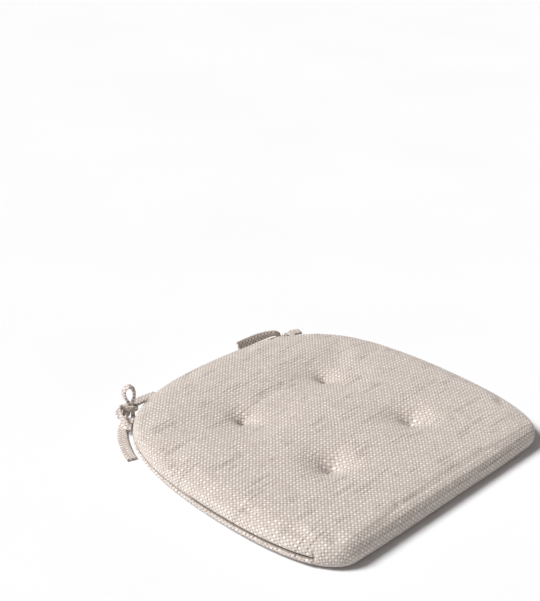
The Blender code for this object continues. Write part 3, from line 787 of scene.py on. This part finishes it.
for (tuft_x, tuft_y), name in zip(TUFTS, TUFT_NAMES):
    near = np.hypot(places[:, 0] - tuft_x, places[:, 1] - tuft_y) < FOOT_REACH
    line = twine_line(tuft_x, tuft_y, float(np.median(places[near & on_top, 2])))
    across = np.cross(np.gradient(line, axis=0), TWINE_TILT)
    twine = swept(f"tuft_twine_{name}", line, across, TWINE_RADIUS, TWINE_RADIUS)
    twine.data.materials.append(thread_finish.material)
    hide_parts(f"tuft_thread_{name}")
    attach(twine, "root")


# ----------------------------------------------------------
# Ties
# Two tapes of the cover's cloth, folded and edge stitched, are sewn into the seam at each
# back corner. One turns back on itself in a bow; the other is wound once round both its
# legs, where all of them are crushed into rolls. Their ends are cut square and lie loose.
TAPE_DROP = 0.0008                  # the tape lies this far below its route, on the floor
TAPE_STEP = 0.0016
TAPE_POWER = 0.55                   # squares up the tape's section
TAPE_CUP = 0.06
TAPE_SIDES = 20
TAPE_WANDER = 0.3                   # its yarns stray less than the cover's
WRAP_LONG = 0.0078                  # half axes of the turn round both legs
WRAP_SHORT = 0.0054
WRAP_RISE = 0.0062                  # travel along the legs in one turn
WRAP_STEPS = 16                     # points in a turn
LEG_OFFSET = 0.0026


def unit(vector):
    """The vector at length one."""
    return np.array(vector, dtype=float) / np.linalg.norm(vector)


def wrap_points(centre, along, across, turns, start):
    """Oval turns about the line along, through centre; across is the long way of the oval."""
    third = np.cross(along, across)
    share = np.linspace(0, 1, round(abs(turns) * WRAP_STEPS) + 1)[:, None]
    angle = start + 2 * math.pi * turns * share
    return (centre + across * WRAP_LONG * np.cos(angle) + third * WRAP_SHORT * np.sin(angle) +
            along * (share - 0.5) * WRAP_RISE * abs(turns)).tolist()


def smooth_route(points):
    """Centripetal Catmull-Rom curve through the points, in steps of about TAPE_STEP, and for
    each point of it the number of the route point it has reached."""
    points = np.array(points, dtype=float)
    knots = np.vstack((2 * points[0] - points[1], points, 2 * points[-1] - points[-2]))
    route, reached = [], []
    for k in range(len(points) - 1):
        before, start, end, after = knots[k:k + 4]
        t1, t2, t3 = np.cumsum([np.linalg.norm(b - a) ** 0.5 for a, b in ((before, start), (start, end),
                                                                       (end, after))])
        steps = max(1, round(np.linalg.norm(end - start) / TAPE_STEP))
        share = np.linspace(0, 1, steps, endpoint=False)
        t = (t1 + (t2 - t1) * share)[:, None]
        a1 = (before * (t1 - t) + start * t) / t1
        a2 = (start * (t2 - t) + end * (t - t1)) / (t2 - t1)
        a3 = (end * (t3 - t) + after * (t - t2)) / (t3 - t2)
        b1 = (a1 * (t2 - t) + a2 * t) / t2
        b2 = (a2 * (t3 - t) + a3 * (t - t1)) / (t3 - t1)
        route.append((b1 * (t2 - t) + b2 * (t - t1)) / (t2 - t1))
        reached.append(k + share)
    return np.vstack((*route, points[-1:])), np.append(np.concatenate(reached), len(points) - 1)


LEFT_KNOT = np.array((-0.1395, 0.1815, 0.0170))
LEFT_ACROSS = unit((-0.700, 0.714, 0.0))
RIGHT_KNOT = np.array((0.1293, 0.1841, 0.0118))
RIGHT_ALONG = unit((-0.897, 0.442, 0.0))
RIGHT_OUT = unit((0.442, 0.897, 0.0))


def left_leg(side, height):
    """A point on the left bow's leg, on the cushion's side (-1) or the outer side (1)."""
    return (*(LEFT_KNOT + LEFT_ACROSS * LEG_OFFSET * side)[:2], height)


def right_leg(along, out, height):
    """A point placed from the right knot, along its legs and outwards from the cushion."""
    return (*(RIGHT_KNOT + RIGHT_ALONG * along + RIGHT_OUT * out)[:2], height)


# Each route: its points, then {point number: (direction of the tape's width, half width,
# half thickness)}, between which all three change evenly
ROOT = (0.757, 0.653, 0.0)
ROUTES = {
    "tie_left_loop": ([
        (-0.1497, 0.1629, 0.0120), (-0.1518, 0.1672, 0.0095), (-0.1500, 0.1712, 0.0050),
        (-0.1450, 0.1745, 0.0030), (-0.1392, 0.1776, 0.0046),
        left_leg(-1, 0.0095), left_leg(-1, 0.0170), left_leg(-1, 0.0245),
        (-0.1355, 0.1785, 0.0340), (-0.1365, 0.1790, 0.0430), (-0.1405, 0.1815, 0.0475),
        (-0.1450, 0.1850, 0.0430), (-0.1450, 0.1860, 0.0340),
        left_leg(1, 0.0245), left_leg(1, 0.0170), left_leg(1, 0.0095),
        (-0.1435, 0.1858, 0.0050), (-0.1465, 0.1915, 0.0030), (-0.1430, 0.1995, 0.0028),
        (-0.1330, 0.2050, 0.0028), (-0.1180, 0.2070, 0.0028), (-0.1000, 0.2075, 0.0028),
        (-0.0800, 0.2060, 0.0028)],
        {0: (ROOT, 0.0058, 0.0011), 2: ((0.1, 0.9, 0.2), 0.0040, 0.0015), 4: ((-0.2, 0.9, 0), 0.0027, 0.0022),
         5: ((0.71, 0.70, 0), 0.0030, 0.0023), 7: ((0.71, 0.70, 0), 0.0032, 0.0022),
         9: ((0.75, 0.65, 0), 0.0042, 0.0013), 10: ((0.60, 0.80, 0), 0.0046, 0.0012),
         12: ((0.05, 1.0, 0), 0.0046, 0.0012), 13: ((0.35, 0.93, 0), 0.0032, 0.0020),
         15: ((0.71, 0.70, 0), 0.0028, 0.0022), 16: ((0.9, 0.3, 0), 0.0030, 0.0020),
         17: ((1.0, 0.1, 0), 0.0044, 0.0014), 18.5: ((0.7, -0.7, 0), 0.0058, 0.0011),
         20: ((0.0, -1.0, 0), 0.0060, 0.0011), 22: ((0.0, -1.0, 0.04), 0.0060, 0.0011)}),
    "tie_left_wrap": ([
        (-0.1607, 0.1534, 0.0120), (-0.1645, 0.1585, 0.0135), (-0.1615, 0.1715, 0.0170),
        (-0.1560, 0.1810, 0.0195), (-0.1500, 0.1862, 0.0203),
        *wrap_points(LEFT_KNOT, np.array((0, 0, -1)), LEFT_ACROSS, -330 / 360, math.radians(-60)),
        (-0.1520, 0.1808, 0.0112), (-0.1585, 0.1752, 0.0070), (-0.1645, 0.1685, 0.0034),
        (-0.1715, 0.1590, 0.0028), (-0.1790, 0.1480, 0.0028), (-0.1860, 0.1350, 0.0028),
        (-0.1920, 0.1225, 0.0028), (-0.1960, 0.1110, 0.0028)],
        {0: (ROOT, 0.0058, 0.0011), 1.5: ((0.4, 0.3, 0.8), 0.0052, 0.0012), 3: ((0, 0, 1), 0.0040, 0.0014),
         5: ((0, 0, 1), 0.0034, 0.0017), 20: ((0, 0, 1), 0.0034, 0.0017),
         22: ((0.4, -0.3, 0.85), 0.0042, 0.0014), 23: ((0.75, -0.50, 0.3), 0.0052, 0.0012),
         24: ((0.82, -0.56, 0), 0.0060, 0.0011), 28: ((0.94, -0.33, 0.04), 0.0060, 0.0011)}),
    "tie_right_loop": ([
        (0.1496, 0.1629, 0.0120), (0.1530, 0.1675, 0.0112), (0.1500, 0.1745, 0.0095),
        right_leg(-0.010, 0, 0.0092), right_leg(-0.005, 0, 0.0092), right_leg(0.005, 0, 0.0092),
        right_leg(0.012, 0.001, 0.0080),
        (0.1080, 0.1960, 0.0040), (0.0960, 0.2000, 0.0030), (0.0885, 0.2050, 0.0030),
        (0.0930, 0.2120, 0.0032), (0.1050, 0.2110, 0.0050), (0.1140, 0.2010, 0.0095),
        right_leg(0.009, 0.001, 0.0138), right_leg(0.004, 0, 0.0144), right_leg(-0.005, 0, 0.0144),
        right_leg(-0.012, 0.001, 0.0143),
        (0.1470, 0.1850, 0.0130), (0.1535, 0.1930, 0.0085), (0.1590, 0.2000, 0.0038),
        (0.1670, 0.2030, 0.0028), (0.1760, 0.1990, 0.0028)],
        {0: ((0.757, -0.653, 0), 0.0058, 0.0011), 1: ((0.9, -0.1, 0), 0.0050, 0.0013),
         2: ((0.6, 0.8, 0), 0.0034, 0.0018), 3: ((0.442, 0.897, 0), 0.0030, 0.0022),
         6: ((0.442, 0.897, 0), 0.0030, 0.0022), 8: ((0.5, 0.8, 0), 0.0036, 0.0014),
         9: ((0.98, 0.2, 0), 0.0034, 0.0015), 10: ((0.5, -0.8, 0), 0.0034, 0.0015),
         11.5: ((-0.6, -0.7, 0), 0.0034, 0.0016), 13: ((-0.442, -0.897, 0), 0.0030, 0.0022),
         15: ((-0.442, -0.897, 0), 0.0030, 0.0022), 16: ((-0.1, -1.0, 0), 0.0034, 0.0020),
         17: ((0.5, -0.8, 0), 0.0044, 0.0014), 19: ((0.77, -0.63, 0), 0.0058, 0.0011),
         20: ((0.1, -1.0, 0), 0.0060, 0.0011), 21: ((-0.4, -0.9, 0.04), 0.0060, 0.0011)}),
    "tie_right_wrap": ([
        (0.1607, 0.1534, 0.0120), (0.1655, 0.1585, 0.0100), (0.1655, 0.1700, 0.0045),
        (0.1580, 0.1830, 0.0030), (0.1470, 0.1905, 0.0036),
        *wrap_points(RIGHT_KNOT, RIGHT_ALONG, np.array((0, 0, 1)), -410 / 360, math.radians(120)),
        (0.1220, 0.1930, 0.0205), (0.1110, 0.1985, 0.0205), (0.0960, 0.2030, 0.0190),
        (0.0800, 0.2055, 0.0175), (0.0640, 0.2065, 0.0165)],
        {0: ((0.757, -0.653, 0), 0.0058, 0.0011), 1.5: ((0.95, -0.1, 0), 0.0054, 0.0012),
         3: ((0.6, 0.75, 0), 0.0046, 0.0013), 4: ((0.1, 0.8, 0.2), 0.0036, 0.0016),
         5: ((-0.897, 0.442, 0), 0.0033, 0.0017), 21: ((-0.897, 0.442, 0), 0.0033, 0.0017),
         24: ((0, 0.35, 0.93), 0.0038, 0.0016), 26: ((0, 0.45, 0.88), 0.0056, 0.0011),
         28: ((0, 0.45, 0.88), 0.0060, 0.0011)}),
}

tie_finish = woven("tie_tape_cloth", TAPE_WANDER)
for name, (route_points, sizes_at) in ROUTES.items():
    route, reached = smooth_route(route_points)
    keys = list(sizes_at)
    directions, half_widths, half_thicks = zip(*sizes_at.values())
    facing = np.column_stack([np.interp(reached, keys, part) for part in zip(*directions)])
    half_width = np.interp(reached, keys, half_widths)
    half_thick = np.interp(reached, keys, half_thicks)
    tape = swept(f"{name}_tape", route - [0, 0, TAPE_DROP], facing, half_width, half_thick,
                 TAPE_POWER, TAPE_SIDES, TAPE_CUP)
    tape.data.materials.append(tie_finish.material)
    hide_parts(name)
    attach(tape, "root")


# ----------------------------------------------------------
# Studio
# A pale floor swept up into a wall all round, and a broad soft light.
EYE = (-0.9153, -0.8078, 0.7724)
TURN, RISE, ROLL = (math.radians(degrees) for degrees in (-45.7, 26.01, 1.07))
LENS_MM = 71.9
SENSOR_MM = 36.0
SWEEP_FLAT = 9.0                    # radius of the flat floor
SWEEP_ROUND = 1.5                   # radius of its curve up into the wall
SWEEP_WALL = 0.3
SWEEP_STEPS = 64
PALE_FLOOR = (0.92, 0.94, 0.97, 1)
DULL_FLOOR = (0.88, 0.90, 0.93, 1)
KEY_POWER = 4.0
KEY_COLOUR = (1.0, 0.985, 0.975)
KEY_SPREAD = math.radians(22)
KEY_TURN = (math.radians(42), 0.0, math.radians(-126))
SURROUND = 0.15
SURROUND_COLOUR = (1.0, 0.89, 0.79, 1)

camera = bpy.data.objects.new("camera", bpy.data.cameras.new("camera"))
camera.data.lens = LENS_MM
camera.data.sensor_width = SENSOR_MM
camera.location = EYE
camera.rotation_euler = (math.pi / 2 - RISE, 0.0, TURN)
camera.rotation_euler = (camera.rotation_euler.to_matrix() @ Matrix.Rotation(ROLL, 3, "Z")).to_euler()
bpy.context.scene.collection.objects.link(camera)
bpy.context.scene.camera = camera

# The floor is a profile turned round the upright axis: flat, a quarter circle and a low wall
bend = np.linspace(0, math.pi / 2, 13)
profile = np.vstack(([[0.01, 0], [1, 0]], np.column_stack((SWEEP_FLAT + SWEEP_ROUND * np.sin(bend),
                                                          SWEEP_ROUND * (1 - np.cos(bend)))),
                     [[SWEEP_FLAT + SWEEP_ROUND, SWEEP_ROUND + SWEEP_WALL]]))
turn = np.linspace(0, 2 * math.pi, SWEEP_STEPS, endpoint=False)
ring = np.stack((np.outer(profile[:, 0], np.cos(turn)), np.outer(profile[:, 0], np.sin(turn)),
                 np.outer(profile[:, 1], np.ones(SWEEP_STEPS))), -1).reshape(-1, 3)
numbers = np.arange(len(ring)).reshape(-1, SWEEP_STEPS)
floor = mesh_object("floor_sweep", ring, band(numbers).tolist() + [numbers[0].tolist()])
floor_finish = Finish("pale_floor", Roughness=0.9)
mottle = floor_finish.noise(floor_finish.node("TexCoord", output=3), 3.0)
floor_finish.shade(Base_Color=floor_finish.mix(mottle, DULL_FLOOR, PALE_FLOOR))
floor.data.materials.append(floor_finish.material)

# Broad soft key from the left and from the side of the cushion's back; pale even surround
key = bpy.data.objects.new("key", bpy.data.lights.new("key", "SUN"))
key.data.energy = KEY_POWER
key.data.angle = KEY_SPREAD
key.data.color = KEY_COLOUR
key.rotation_euler = KEY_TURN
bpy.context.scene.collection.objects.link(key)
world = bpy.data.worlds.new("surround")
world.use_nodes = True
world.node_tree.nodes["Background"].inputs["Color"].default_value = SURROUND_COLOUR
world.node_tree.nodes["Background"].inputs["Strength"].default_value = SURROUND
bpy.context.scene.world = world
bpy.context.scene.view_settings.view_transform = "Standard"
